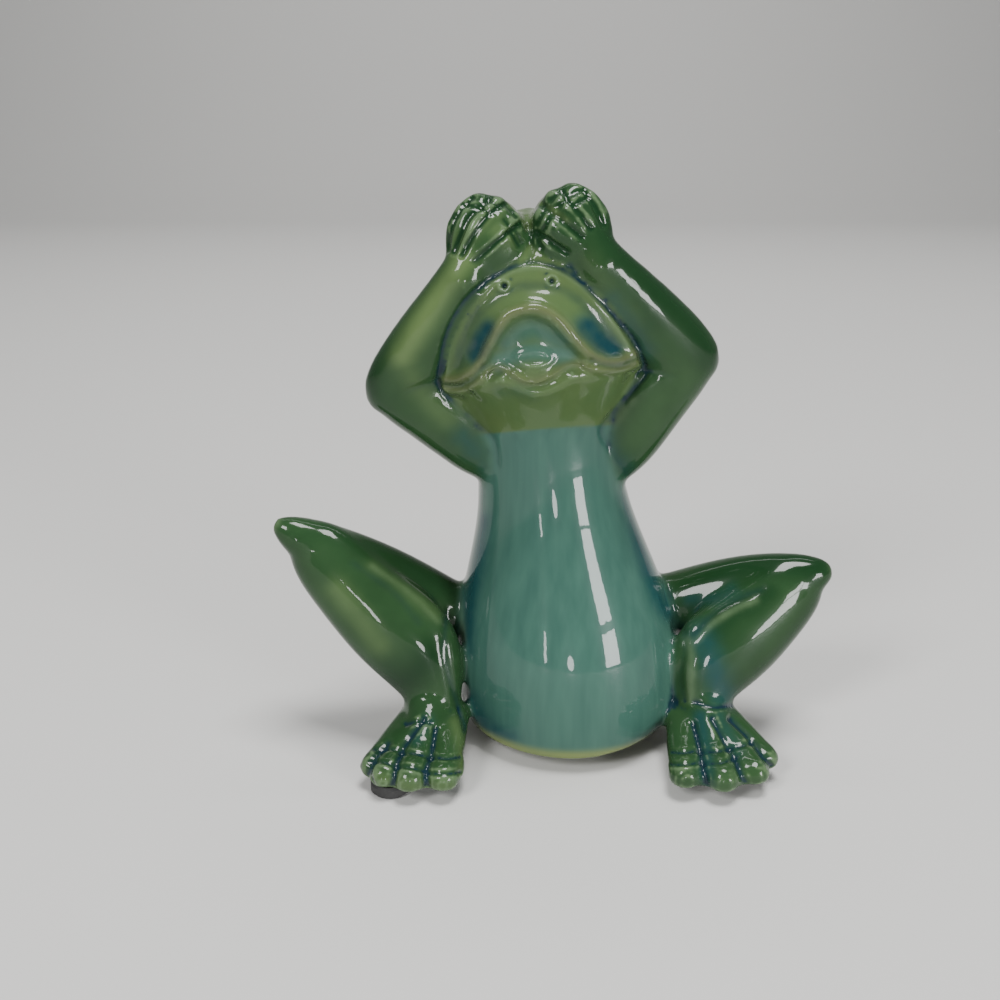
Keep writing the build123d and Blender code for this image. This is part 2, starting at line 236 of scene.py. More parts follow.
leg_strokes = (
    # where the thighs and shins meet, with a low ridge beside each crease
    (("right_leg",), 0.80, -0.55, ((352, 562), (373, 577), (393, 591), (408, 608), (420, 624))),
    (("right_leg",), 0.70, 0.25, ((395, 589), (410, 602), (424, 616))),
    (("left_leg",), 0.90, -0.60, ((763, 589), (744, 596), (726, 605), (713, 614), (702, 625), (692, 635))),
    (("left_leg",), 0.70, 0.25, ((752, 601), (733, 608), (716, 620), (702, 634))),
    # the ankles, and the legs against the belly
    (("right_leg",), 0.70, -0.45, ((406, 724), (418, 721), (431, 722))),
    (("left_leg",), 0.70, -0.45, ((694, 702), (714, 707), (733, 705))),
    (("right_leg", "body"), 0.70, -0.50, right_belly_crease),
    (("left_leg", "body"), 0.70, -0.50, left_belly_crease),
)

# Glaze, and painted shade, laid on by brush, in rows as above, with a strength from 0 to 1 in place of the
# height
olive_strokes = (
    # the broad fronts of the arms and legs, where the green runs thin
    (("right_arm",), 4.2, 0.95, ((462, 262), (440, 292), (418, 326), (402, 356))),
    (("right_arm",), 4.0, 0.55, ((404, 366), (420, 392), (448, 420))),
    (("left_arm",), 3.8, 0.40, ((590, 262), (612, 296), (634, 322))),
    (("left_arm",), 4.4, 0.15, ((688, 372), (668, 402), (642, 434))),
    (("right_arm",), 3.4, 0.65, ((460, 240), (486, 222), (508, 238))),
    (("right_leg",), 4.2, 0.60, ((338, 590), (360, 618), (380, 645))),
    (("right_leg",), 2.8, 0.45, ((372, 566), (404, 588), (436, 612))),
    (("left_leg",), 4.5, 0.25, ((806, 606), (782, 640), (752, 672))),
    (("right_leg",), 3.2, 0.70, ((364, 776), (388, 782), (412, 788), (452, 788))),
    (("left_leg",), 3.2, 0.20, ((686, 780), (726, 784), (760, 772))),
    (("right_leg",), 2.2, 0.60, ((455, 722), (462, 752), (463, 786))),
)
blue_strokes = (
    # blue-green glaze: the cheeks, and where the limbs come near the chest and the belly
    (("body",), 3.2, 1.00, ((476, 356), (482, 338), (488, 330))),
    (("body",), 3.6, 1.00, ((588, 326), (600, 338), (612, 350))),
    (("body",), 2.6, 0.45, ((500, 392), (528, 392))),
    (("body",), 2.8, 0.50, ((506, 344), (532, 330), (562, 344))),
    (("right_arm",), 4.4, 0.60, ((462, 438), (482, 456), (494, 474))),
    (("left_arm",), 4.0, 0.55, ((628, 470), (612, 452), (604, 434))),
    (("left_arm",), 3.4, 0.55, ((614, 300), (634, 330), (646, 352))),
    (("left_leg",), 5.0, 0.80, ((700, 636), (712, 664), (722, 694))),
    (("left_leg",), 3.0, 0.60, ((690, 600), (712, 598), (732, 592))),
    (("left_leg",), 2.6, 0.75, ((700, 716), (706, 750), (708, 784))),
    (("left_leg",), 2.6, 0.60, ((720, 716), (738, 752))),
    (("right_leg",), 2.2, 0.60, ((428, 720), (416, 740))),
    (("body",), 3.0, 0.90, ((482, 520), (478, 560), (470, 600), (466, 650))),
    (("body",), 3.0, 0.90, ((630, 500), (642, 548), (656, 590), (668, 612))),
    (("body",), 3.4, 0.85, ((470, 700), (486, 726), (510, 738))),
)
shade_strokes = (
    # dark green along the upper edges
    (("right_arm",), 2.6, 0.75, ((436, 262), (404, 306), (376, 352), (370, 392))),
    (("left_arm",), 4.6, 0.90, ((612, 236), (650, 280), (690, 322), (712, 358))),
    (("right_leg",), 3.0, 0.50, ((332, 530), (372, 546), (420, 572), (448, 590))),
    (("right_leg",), 4.6, 1.00, ((392, 684), (412, 676), (430, 656))),
    (("left_leg",), 4.5, 0.70, ((818, 606), (790, 646), (752, 688))),
    (("left_leg",), 5.2, 1.00, ((690, 590), (730, 572), (776, 562), (818, 566))),
    (("left_leg",), 3.4, 0.80, ((770, 592), (738, 608), (712, 628))),
    (("left_arm", "right_arm"), 3.4, 0.45, ((456, 214), (492, 206), (528, 226), (566, 200), (600, 216))),
    # painted shade: the crown between the hands, and the line where the thumbs meet
    (("body",), 4.0, 1.00, ((470, 190), (500, 186), (528, 206), (560, 180), (590, 190))),
    (("body",), 2.6, 1.00, ((529, 214), (530, 236), (529, 258))),
)
mouth_strokes = (
    # the teal glaze inside the mouth
    (("body",), 2.2, 1.00, mouth_shelf_line),
    (("body",), 2.6, 0.60, ((508, 342), (532, 330), (560, 342))),
)
lip_strokes = (
    (("body",), 1.1, 0.85, upper_lip_line),
    (("body",), 1.0, 0.60, lower_lip_line),
)
pale_strokes = (
    # pale rims: the flange around the muzzle, the shelf of the mouth and the joints of the legs
    (("body",), 0.9, 0.55, flange_line),
    (("body",), 1.6, 0.35, mouth_shelf_line),
    (("body",), 1.6, 0.70, ((458, 600), (462, 650), (458, 690))),
    (("body",), 1.3, 0.55, ((676, 596), (688, 640), (686, 690))),
    (("left_leg",), 1.5, 0.55, ((688, 640), (692, 660), (690, 700))),
    (("right_arm",), 1.2, 0.45, ((450, 402), (474, 420), (494, 440))),
    (("left_arm",), 1.2, 0.45, ((634, 400), (612, 428))),
    (("right_leg",), 1.0, 0.50, ((372, 566), (396, 582), (420, 602), (438, 622))),
    (("left_leg",), 1.2, 0.60, ((756, 600), (734, 610), (712, 624), (698, 640))),
)
navy_strokes = (
    # creases where the glaze pools blue and nearly black
    (("body", "left_arm", "right_arm"), 0.75, 0.80, muzzle_crease),
    (("body", "right_arm"), 0.70, 0.60, right_chin_crease),
    (("body", "left_arm"), 0.80, 0.70, left_chin_crease),
    (("right_leg", "body"), 0.80, 0.75, right_belly_crease),
    (("left_leg", "body"), 0.60, 0.45, ((670, 589), (678, 616), (685, 639), (683, 655), (680, 680))),
)
# Where the mouth's forms are evened out before the carving
mouth_smoothing = (
    (("body",), 3.6, 1.0, upper_lip_line),
    (("body",), 3.2, 1.0, lower_lip_line),
    (("body",), 4.5, 1.0, ((500, 345), (532, 340), (566, 348))),
    (("body",), 3.4, 1.0, chin_line),
)
mouth_gain = 1.6

# The olive chin ends above the blue-green bib along this line in the picture. The change takes these
# pixels up and down, and these millimetres in front of the middle of the body's foot.
bib_line = ((440, 436), (498, 433), (542, 429), (596, 425.5), (660, 422))
bib_edge = (-1.5, 1.5)
bib_wrap = (-9.0, 3.0)
# Bends in 1/mm between which the glaze begins to pool and pools fully, or begins to thin
pool_bends = (0.06, 0.55)
thin_bends = (0.32, 0.85)
thin_strength = 0.7
# A groove's share, for each millimetre of its depth, and how strongly glaze pools in it
groove_gain = 2.2
groove_pool = 0.55
# Less glaze pools in the mouth and in the hands, by these shares
mouth_pool_cut = 0.85
hand_pool_cut = 0.8
# The lighter rim around the body's foot, measured up from the lowest skin that is well inside the body
rim_height = 5.5 * mm
rim_fade = 3.5 * mm
well_inside = 0.9
# Rounds of blurring: the castings' shares, the bends, and what is painted
blur_rounds = {"shares": 12, "bends": 8, "pooled_glaze_and_shade": 4, "thin": 2, "limb": 6, "shade": 1}

# Thickness of the wall that closes each piece along its joints
joint_wall = 1.0 * mm

# Colours of the glaze
deep_green = (0.006, 0.025, 0.008, 1)
mid_green = (0.026, 0.062, 0.023, 1)
thin_green = (0.082, 0.130, 0.046, 1)
head_olive = (0.070, 0.100, 0.035, 1)
head_green = (0.038, 0.080, 0.030, 1)
bib_dark = (0.022, 0.064, 0.051, 1)
bib_light = (0.046, 0.112, 0.085, 1)
blue_green = (0.006, 0.040, 0.047, 1)
rim_olive = (0.120, 0.155, 0.050, 1)
lip_glaze = (0.078, 0.094, 0.040, 1)
pale_glaze = (0.115, 0.175, 0.090, 1)
# navy of the pooled glaze, also used as painted shade in the nostril pits
navy_glaze_and_shade = (0.005, 0.018, 0.026, 1)
glaze_finish = {
    "Roughness": 0.22,
    "Specular IOR Level": 0.05,
    "Coat Weight": 0.62,
    "Coat Roughness": 0.015,
    "Coat IOR": 1.38,
}
# How far the clouds push a painted edge in and out
edge_break = 0.7

rubber_dark = (0.008, 0.008, 0.009, 1)
rubber_light = (0.028, 0.027, 0.026, 1)

# Sockets of a node that mixes colours: the share and the two colours, and the result
mix_inputs = (0, 6, 7)
mix_result = 2

# Half the floor's width, which is also the backdrop's height, and the bend between them in steps of
# this length, in metres
floor_reach = 1.6
backdrop_steps = 8
backdrop_bend = 0.16
floor_finish = {"Base Color": (0.50, 0.495, 0.48, 1), "Roughness": 0.6}

# Lights: name, place, the place they aim at, width and height in metres, power in watts, shape
figurine_middle = (0.0, 0.0, 0.07)
lights = (
    ("upper_pane", (0.47, -0.53, 0.225), figurine_middle, 0.18, 0.08, 1.6, "RECTANGLE"),
    ("lower_pane", (0.47, -0.53, 0.095), figurine_middle, 0.18, 0.15, 3.0, "RECTANGLE"),
    ("ring", (0.02, -0.62, 0.050), figurine_middle, 0.07, 0.07, 0.40, "DISK"),
    ("narrow_pane", (-0.26, -0.66, 0.08), figurine_middle, 0.03, 0.10, 0.30, "RECTANGLE"),
    ("left_box", (-0.50, -0.60, 0.62), figurine_middle, 0.24, 0.32, 7.5, "RECTANGLE"),
    ("ceiling_box", (0.15, -0.10, 1.40), figurine_middle, 0.50, 0.50, 24.0, "RECTANGLE"),
    ("backdrop_box", (0.0, 0.75, 1.50), (0.0, 2.2, 0.5), 1.4, 0.5, 24.0, "RECTANGLE"),
)
world_colour = (0.88, 0.90, 0.92, 1)
world_strength = 0.24


def body_foot():
    """The middle of the body's foot on the table."""
    low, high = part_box("right_seat_pad")
    foot = (low + high) / 2 - seat_pad_place
    return Vector((foot.x, foot.y, 0.0))


def scene_object(name, data):
    made = bpy.data.objects.new(name, data)
    bpy.context.scene.collection.objects.link(made)
    return made


def make_camera():
    camera = bpy.data.cameras.new("camera")
    camera.sensor_width = camera_sensor
    camera.lens = camera.sensor_width * camera_focal / picture_size
    camera.clip_start = camera_near
    holder = scene_object("camera", camera)
    holder.location = body_foot() + camera_place
    holder.rotation_euler = (math.pi / 2 - camera_pitch, 0.0, 0.0)
    bpy.context.scene.camera = holder


def in_picture(places):
    """Where each place shows in the picture's frame, and how many pixels a metre takes there."""
    eye = body_foot() + camera_place
    across = places[:, 0] - eye.x
    ahead = places[:, 1] - eye.y
    down = eye.z - places[:, 2]
    depth = ahead * math.cos(camera_pitch) + down * math.sin(camera_pitch)
    fall = down * math.cos(camera_pitch) - ahead * math.sin(camera_pitch)
    scale = camera_focal / depth
    return picture_size / 2 + across * scale, picture_size / 2 + fall * scale, scale


# Reading and joining the castings

def only(items, kind):
    """The items that are of one kind: vertices, edges or faces."""
    return [item for item in items if isinstance(item, kind)]


def casting_copy(name):
    """A merged copy of a casting's mesh."""
    bm = bmesh.new()
    bm.from_mesh(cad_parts[name + "_casting"].data)
    bmesh.ops.remove_doubles(bm, verts=bm.verts, dist=merge_distance)
    return bm


def island_of(start):
    """All vertices that hang together with one."""
    found = {start}
    searching = [start]
    while searching:
        vertex = searching.pop()
        for edge in vertex.link_edges:
            other = edge.other_vert(vertex)
            if other not in found:
                found.add(other)
                searching.append(other)
    return found


def keep_outer_skin(bm):
    """Delete all that doesn't hang together with the crown."""
    outside = island_of(max(bm.verts, key=lambda vertex: vertex.co.z))
    bmesh.ops.delete(bm, geom=[vertex for vertex in bm.verts if vertex not in outside], context="VERTS")


def close_vent(bm):
    """Take the hollow away above the vent hole, and leave the hole as a blind recess."""
    foot = body_foot()
    floor = min(vertex.co.z for vertex in bm.verts)
    hole_faces = []
    for face in bm.faces:
        centre = face.calc_center_median()
        upright = abs(face.normal.z) < upright_limit
        from_axis = math.hypot(centre.x - foot.x, centre.y - foot.y)
        if upright and from_axis < vent_reach and centre.z < floor + vent_search:
            hole_faces.append(face)
    bmesh.ops.delete(bm, geom=hole_faces, context="FACES")
    keep_outer_skin(bm)
    rim = [edge for edge in bm.edges if edge.is_boundary]
    lid = bmesh.ops.holes_fill(bm, edges=rim, sides=0)["faces"]
    raised = bmesh.ops.extrude_face_region(bm, geom=lid)["geom"]
    bmesh.ops.delete(bm, geom=lid, context="FACES")
    bmesh.ops.translate(bm, verts=only(raised, bmesh.types.BMVert), vec=(0.0, 0.0, vent_depth))
    bmesh.ops.recalc_face_normals(bm, faces=bm.faces)


def mesh_object(bm, name):
    mesh = bpy.data.meshes.new(name)
    bm.to_mesh(mesh)
    bm.free()
    return scene_object(name, mesh)


def joined_castings():
    """One object with the outer surfaces of all castings."""
    whole = bmesh.new()
    for name in castings:
        bm = casting_copy(name)
        if name == "body":
            close_vent(bm)
        part = bpy.data.meshes.new(name)
        bm.to_mesh(part)
        bm.free()
        whole.from_mesh(part)
        bpy.data.meshes.remove(part)
    return mesh_object(whole, "skin")


def make_even(piece, voxel):
    """Make the piece's mesh again as an even grid of small faces that flows over its joints."""
    remesh = piece.modifiers.new("even_grid", "REMESH")
    remesh.mode = "VOXEL"
    remesh.voxel_size = voxel
    bpy.context.view_layer.update()
    mesh = bpy.data.meshes.new_from_object(piece.evaluated_get(bpy.context.evaluated_depsgraph_get()))
    piece.modifiers.clear()
    bm = bmesh.new()
    bm.from_mesh(mesh)
    keep_outer_skin(bm)
    bm.to_mesh(mesh)
    bm.free()
    piece.data = mesh


def refine_detail(mesh):
    """Make the faces smaller where the picture shows fine forms: the hands, the face and the toes."""
    bm = bmesh.new()
    bm.from_mesh(mesh)
    for left, top, right, bottom, cuts in detail_boxes:
        bm.verts.index_update()
        places = np.array([vertex.co for vertex in bm.verts])
        across, fall, _ = in_picture(places)
        fine = (across > left) & (across < right) & (fall > top) & (fall < bottom)
        fine &= places[:, 1] < body_foot().y + detail_back
        edges = [edge for edge in bm.edges if fine[edge.verts[0].index] and fine[edge.verts[1].index]]
        bmesh.ops.subdivide_edges(bm, edges=edges, cuts=cuts, use_grid_fill=True)
    bm.to_mesh(mesh)
    bm.free()


# The skin as tables

def read_values(items, name, width=1, kind=float):
    """One value, or a row of so many values, for each item of a mesh."""
    values = np.zeros(len(items) * width, kind)
    items.foreach_get(name, values)
    return values if width == 1 else values.reshape(-1, width)


class Skin:
    """The skin's vertices as tables, to smooth, carve and colour them."""

    def __init__(self, mesh):
        self.mesh = mesh
        self.places = read_values(mesh.vertices, "co", 3)
        self.edges = read_values(mesh.edges, "vertices", 2, int)
        self.neighbours = self.gather(np.ones(len(self.places)))
        self.across, self.fall, self.scale = in_picture(self.places)

    def gather(self, values):
        """The sum of a value over each vertex's neighbours."""
        first, second = self.edges[:, 0], self.edges[:, 1]
        count = len(self.places)
        return np.bincount(first, values[second], count) + np.bincount(second, values[first], count)

    def mean_places(self):
        """For each vertex, the mean place of its neighbours."""
        return np.stack([self.gather(self.places[:, axis]) / self.neighbours for axis in range(3)], 1)

    def blurred(self, values, rounds):
        for _ in range(rounds):
            values = (values + self.gather(values) / self.neighbours) / 2
        return values

    def soften(self, share, rounds):
        """Smooth the skin where share is 1, and leave it where share is 0."""
        smooth = np.stack([self.blurred(self.places[:, axis], rounds) for axis in range(3)], 1)
        part = np.broadcast_to(share, len(self.places))
        self.places += (smooth - self.places) * part[:, None]
        self.write()

    def write(self):
        self.mesh.vertices.foreach_set("co", self.places.ravel())
        self.mesh.update()
        self.across, self.fall, self.scale = in_picture(self.places)

    def normals(self):
        self.write()
        return read_values(self.mesh.vertices, "normal", 3)

    def fill_creases(self, rounds, share):
        """Let the glaze fill creases and thin on ridges, by moving each place towards its neighbours."""
        for _ in range(rounds):
            normals = self.normals()
            step = self.mean_places() - self.places
            rise = (step * normals).sum(1)
            part = np.where(rise > 0, crease_rise, ridge_fall) * share
            self.places += step * part[:, None]
        self.write()

    def attribute(self, name, values):
        layer = self.mesh.attributes.new(name, "FLOAT", "POINT")
        layer.data.foreach_set("value", values.astype(np.float32))


def bending(skin, normals):
    """How sharply the skin bends at each vertex, in 1/mm: -2/r on a ball of radius r, 2/r in a bowl."""
    first, second = skin.places[skin.edges[:, 0]], skin.places[skin.edges[:, 1]]
    squares = ((first - second) ** 2).sum(1)
    count = len(skin.places)
    spread = np.bincount(skin.edges[:, 0], squares, count) + np.bincount(skin.edges[:, 1], squares, count)
    rise = ((skin.mean_places() - skin.places) * normals).sum(1)
    return 4 * rise / (spread / skin.neighbours) * mm


def soft_step(values, start, finish):
    """0 up to start, 1 from finish on, and a soft slope between them."""
    t = np.clip((values - start) / (finish - start), 0, 1)
    return t * t * (3 - 2 * t)


def above(skin, full, none):
    """1 above the height full in the picture, 0 below the height none."""
    return soft_step(-skin.fall, -none, -full)


def rounds_for(width, cell):
    """How many rounds of smoothing even out forms of this width in millimetres."""
    # One round spreads a value by about half a cell, and rounds add up as squares
    spread = cell / 2
    return round((width * mm / spread) ** 2)


def toe_zone(skin):
    """1 at the toes, 0 elsewhere."""
    zone = np.zeros(len(skin.places))
    for left, top, right, bottom in toe_boxes:
        from_left = soft_step(skin.across, left, left + toe_side_fade)
        from_right = soft_step(-skin.across, -right, -right + toe_side_fade)
        from_top = soft_step(skin.fall, top, top + toe_top_fade)
        zone = np.maximum(zone, from_left * from_right * from_top * (skin.fall < bottom))
    return zone


def casting_shares(skin):
    """For each casting, how much each vertex of the skin belongs to it, from 0 to 1."""
    distances = []
    for name in castings:
        bm = casting_copy(name)
        tree = BVHTree.FromBMesh(bm)
        low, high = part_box(name + "_casting")
        row = np.full(len(skin.places), far_away)
        inside = (skin.places > np.array(low) - share_reach) & (skin.places < np.array(high) + share_reach)
        for place in np.nonzero(np.all(inside, 1))[0]:
            distance = tree.find_nearest(skin.places[place], share_reach)[3]
            if distance is not None:
                row[place] = distance
        bm.free()
        distances.append(row)
    nearest = np.argmin(np.stack(distances), 0)
    owned = [(nearest == index).astype(float) for index in range(len(castings))]
    return np.stack([skin.blurred(values, blur_rounds["shares"]) for values in owned])


def belonging(shares, names):
    return sum(shares[castings.index(name)] for name in names)


def facing(skin, normals):
    """1 where the skin faces the camera, 0 where it faces away."""
    eye = np.array(body_foot() + camera_place)
    view = eye - skin.places
    view /= np.linalg.norm(view, axis=1)[:, None]
    return np.clip((normals * view).sum(1) * facing_gain, 0, 1)


# Strokes in the picture's frame

def soft_line(points):
    """More points between those of a stroke, so that it bends softly through them."""
    if len(points) < 3:
        return points
    spare = [points[0]] + list(points) + [points[-1]]
    line = []
    for before, start, finish, after in zip(spare, spare[1:], spare[2:], spare[3:]):
        for step in range(stroke_steps):
            # A cubic through the points, whose slope at each is that between its neighbours
            t = step / stroke_steps
            pair = []
            for a, b, c, d in zip(before, start, finish, after):
                pair.append(b + t * ((c - a) / 2 + t * (a - 2.5 * b + 2 * c - d / 2
                                                        + t * (1.5 * b - a / 2 - 1.5 * c + d / 2))))
            line.append(tuple(pair))
    line.append(points[-1])
    return line


def from_stroke(skin, points, reach):
    """The vertices near a stroke, and their distances from it in metres."""
    line = soft_line(points)
    margin = reach * skin.scale.max()
    xs, ys = zip(*line)
    beside = (skin.across > min(xs) - margin) & (skin.across < max(xs) + margin)
    level = (skin.fall > min(ys) - margin) & (skin.fall < max(ys) + margin)
    chosen = np.nonzero(beside & level)[0]
    across, fall = skin.across[chosen], skin.fall[chosen]
    nearest = np.full(len(chosen), np.inf)
    for (ax, ay), (bx, by) in zip(line, line[1:]):
        length = (bx - ax) ** 2 + (by - ay) ** 2
        t = np.clip(((across - ax) * (bx - ax) + (fall - ay) * (by - ay)) / length, 0, 1)
        nearest = np.minimum(nearest, np.hypot(across - ax - t * (bx - ax), fall - ay - t * (by - ay)))
    return chosen, nearest / skin.scale[chosen]


def stroke_share(skin, belongs, width, points):
    """How much each vertex lies under a stroke, from 0 to 1."""
    out = np.zeros(len(skin.places))
    chosen, away = from_stroke(skin, points, stroke_tail * width * mm)
    out[chosen] = belongs[chosen] * np.exp(-(away / (width * mm)) ** 2)
    return out


def carve(skin, strokes, shares, towards):
    """Press grooves and raise ridges along strokes."""
    normals = skin.normals()
    moved = np.zeros(len(skin.places))
    for names, width, height, points in strokes:
        belongs = belonging(shares, names) * towards
        moved += height * mm * stroke_share(skin, belongs, width, points)
    skin.places += normals * moved[:, None]
    skin.write()


def paint(skin, strokes, shares, towards):
    """The most that any stroke lays on each vertex."""
    laid = np.zeros(len(skin.places))
    for names, width, strength, points in strokes:
        belongs = belonging(shares, names) * towards
        laid = np.maximum(laid, strength * stroke_share(skin, belongs, width, points))
    return laid


def from_point(skin, point):
    """How many pixels each vertex shows away from a point."""
    return np.hypot(skin.across - point[0], skin.fall - point[1])


def shape_mouth_ring(skin, shares, towards):
    """The small raised oval in the middle of the mouth."""
    across = (skin.across - ring_middle[0]) / ring_reach[0]
    away = np.hypot(across, (skin.fall - ring_middle[1]) / ring_reach[1])
    off_ring = (away - 1.0) * ring_reach[1] / skin.scale
    share = belonging(shares, ("body",)) * towards
    share = share * np.exp(-(off_ring / (ring_width * mm)) ** 2) * (away < ring_limit)
    skin.places += skin.normals() * (ring_rise * mm * share)[:, None]
    skin.write()


def shape_nostrils(skin, shares, towards):
    """Raised rims around the nostrils, and the nostrils pressed in."""
    normals = skin.normals()
    for nostril in nostrils:
        away = from_point(skin, nostril)
        rim = np.exp(-((away - nostril_rim_reach) / nostril_rim_width) ** 2)
        pit = np.exp(-(away / nostril_pit_width) ** 2)
        height = nostril_rim_rise * rim + nostril_sink * pit
        skin.places += normals * (height * mm * belonging(shares, ("body",)) * towards)[:, None]
    skin.write()


# Making, carving and painting the skin

def smooth_skin(raw):
    """The joined castings as one smooth skin, with the glaze run into its creases."""
    make_even(raw, skin_voxel)
    skin = Skin(raw.data)
    skin.soften(1.0, rounds_for(joint_smoothing, skin_voxel))
    skin.fill_creases(rounds_for(crease_filling, skin_voxel), 1.0)
    skin.fill_creases(rounds_for(toe_crease_filling, skin_voxel), toe_zone(skin))
    refine_detail(raw.data)
    skin = Skin(raw.data)
    skin.soften(1.0, refined_rounds)
    return skin


def carve_skin(skin, shares):
    """Carve the fine forms. Gives how much each vertex lies in the mouth, in grooves and in the hands."""
    towards = facing(skin, skin.normals())
    in_mouth = np.clip(mouth_gain * paint(skin, mouth_smoothing, shares, towards), 0, 1)
    skin.soften(in_mouth, rounds_for(mouth_form_smoothing, fine_cell))
    strokes = face_strokes + hand_strokes + foot_strokes + leg_strokes
    carve(skin, strokes, shares, towards)
    grooves = [(names, width, groove_gain * -height, points)
               for names, width, height, points in strokes if height < 0]
    in_grooves = np.clip(paint(skin, grooves, shares, towards), 0, 1)
    skin.soften(in_grooves, rounds_for(groove_smoothing, fine_cell))
    in_hands = above(skin, *hand_fall)
    skin.soften(np.maximum(in_hands, toe_zone(skin)), hand_rounds)
    shape_mouth_ring(skin, shares, towards)
    shape_nostrils(skin, shares, towards)
    skin.soften(1.0, finished_rounds)
    return in_mouth, in_grooves, in_hands


def paint_skin(skin, shares, normals, in_mouth, in_grooves, in_hands):
    """Paint where the glaze pools, thins and changes colour, and the painted shade in the nostrils, the
    hands' grooves and the crown, as attributes that the material reads.
    """
    of_body = belonging(shares, ("body",))
    towards = facing(skin, normals)
    bends = skin.blurred(bending(skin, normals), blur_rounds["bends"])
    pooled_glaze_and_shade = soft_step(bends, *pool_bends) * (1 - mouth_pool_cut * in_mouth)
    pooled_glaze_and_shade = np.maximum(pooled_glaze_and_shade, paint(skin, navy_strokes, shares, towards))
    pooled_glaze_and_shade = np.maximum(pooled_glaze_and_shade, groove_pool * in_grooves) * (1 - hand_pool_cut * in_hands)
    # Painted shade: the nostril pits are darkened with the navy of the pooled glaze
    for nostril in nostrils:
        pooled_glaze_and_shade = np.maximum(pooled_glaze_and_shade, of_body * np.exp(-(from_point(skin, nostril) / nostril_shade_width) ** 2))
    skin.attribute("pooled_glaze_and_shade", skin.blurred(pooled_glaze_and_shade, blur_rounds["pooled_glaze_and_shade"]))
    lips = paint(skin, lip_strokes, shares, towards)
    thin = thin_strength * soft_step(-bends, *thin_bends) * (1 - lips)
    thin = np.maximum(thin, paint(skin, pale_strokes, shares, towards))
    skin.attribute("thin", skin.blurred(thin, blur_rounds["thin"]))
    skin.attribute("limb", skin.blurred(1.0 - of_body, blur_rounds["limb"]))
    bib_fall = np.interp(skin.across, [x for x, _ in bib_line], [y for _, y in bib_line])
    forward = (body_foot().y - skin.places[:, 1]) / mm
    bib = soft_step(skin.fall - bib_fall, *bib_edge) * soft_step(forward, *bib_wrap)
    skin.attribute("bib", np.maximum(bib, paint(skin, mouth_strokes, shares, towards)))
    skin.attribute("olive", paint(skin, olive_strokes, shares, towards))
    # Painted shade: deep green in the grooves of the hands and on the crown between them
    shade = np.maximum(paint(skin, shade_strokes, shares, towards), in_grooves * in_hands)
    shade = np.maximum(shade, of_body * above(skin, *crown_fall))
    skin.attribute("shade", skin.blurred(shade, blur_rounds["shade"]))
    skin.attribute("blue", paint(skin, blue_strokes, shares, towards))
    skin.attribute("lip", lips)
    heights = skin.places[:, 2]
    rim_top = heights[of_body > well_inside].min() + rim_height
    skin.attribute("rim", of_body * soft_step(rim_top - heights, 0, rim_fade))


# Parting the skin along the joints

def owners_of_faces(skin, shares):
    """Which casting each face of the skin belongs to."""
    corners = read_values(skin.mesh.loops, "vertex_index", kind=int)
    starts = read_values(skin.mesh.polygons, "loop_start", kind=int)
    return np.argmax(np.add.reduceat(shares[:, corners], starts, axis=1), 0)


def part_casting(skin, name, owners, normals):
    """The closed piece of skin that belongs to one casting, with a wall along its joints."""
    bm = bmesh.new()
    bm.from_mesh(skin.mesh)
    source = bm.verts.layers.int.new("source")
    outer = bm.faces.layers.int.new("outer")
    for vertex in bm.verts:
        vertex[source] = vertex.index
    for face in bm.faces:
        face[outer] = 1
    index = castings.index(name)
    strangers = [face for face in bm.faces if owners[face.index] != index]
    bmesh.ops.delete(bm, geom=strangers, context="FACES")
    rim = [edge for edge in bm.edges if edge.is_boundary]
    for edge in rim:
        edge.smooth = False
    extruded = bmesh.ops.extrude_edge_only(bm, edges=rim)["geom"]
    for vertex in only(extruded, bmesh.types.BMVert):
        vertex.co -= Vector(normals[vertex[source]]) * joint_wall
    inner_rim = [edge for edge in only(extruded, bmesh.types.BMEdge) if edge.is_boundary]
    inner = only(extruded, bmesh.types.BMFace)
    inner += bmesh.ops.holes_fill(bm, edges=inner_rim, sides=0)["faces"]
    for face in inner:
        face[outer] = 0
    bmesh.ops.triangulate(bm, faces=[face for face in bm.faces if len(face.verts) > 4])
    bmesh.ops.recalc_face_normals(bm, faces=bm.faces)
    for face in bm.faces:
        face.smooth = True
    piece = mesh_object(bm, name + "_glaze")
    keep_skin_normals(piece.data, normals)
    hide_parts(name + "_casting")
    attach(piece, "root")
    return piece


def keep_skin_normals(mesh, normals):
    """Shade the outer faces with the whole skin's normals, so that the joints don't show."""
    source = read_values(mesh.attributes["source"].data, "value", kind=int)
    outer = read_values(mesh.attributes["outer"].data, "value", kind=int)
    corners = read_values(mesh.loops, "vertex_index", kind=int)
    totals = read_values(mesh.polygons, "loop_total", kind=int)
    kept = normals[source[corners]] * np.repeat(outer, totals)[:, None]
    mesh.normals_split_custom_set(kept.tolist())
    for name in ("source", "outer"):
        mesh.attributes.remove(mesh.attributes[name])


# Materials. A node's place has no effect on the looks.

def node(tree, kind, place, **values):
    made = tree.nodes.new(kind)
    made.location = place
    for key, value in values.items():
        setattr(made, key, value)
    return made


def new_material(name, finish):
    """A material whose shader's inputs have the values of finish."""
    material = bpy.data.materials.new(name)
    material.use_nodes = True
    shader = material.node_tree.nodes["Principled BSDF"]
    for key, value in finish.items():
        shader.inputs[key].default_value = value
    return material, material.node_tree, shader


def painted(tree, name, place):
    """The value of an attribute that was painted on the skin."""
    return node(tree, "ShaderNodeAttribute", place, attribute_name=name).outputs["Fac"]


def put(tree, value, socket):
    """Link a socket to another, or give it a value."""
    if isinstance(value, bpy.types.NodeSocket):
        tree.links.new(value, socket)
    else:
        socket.default_value = value


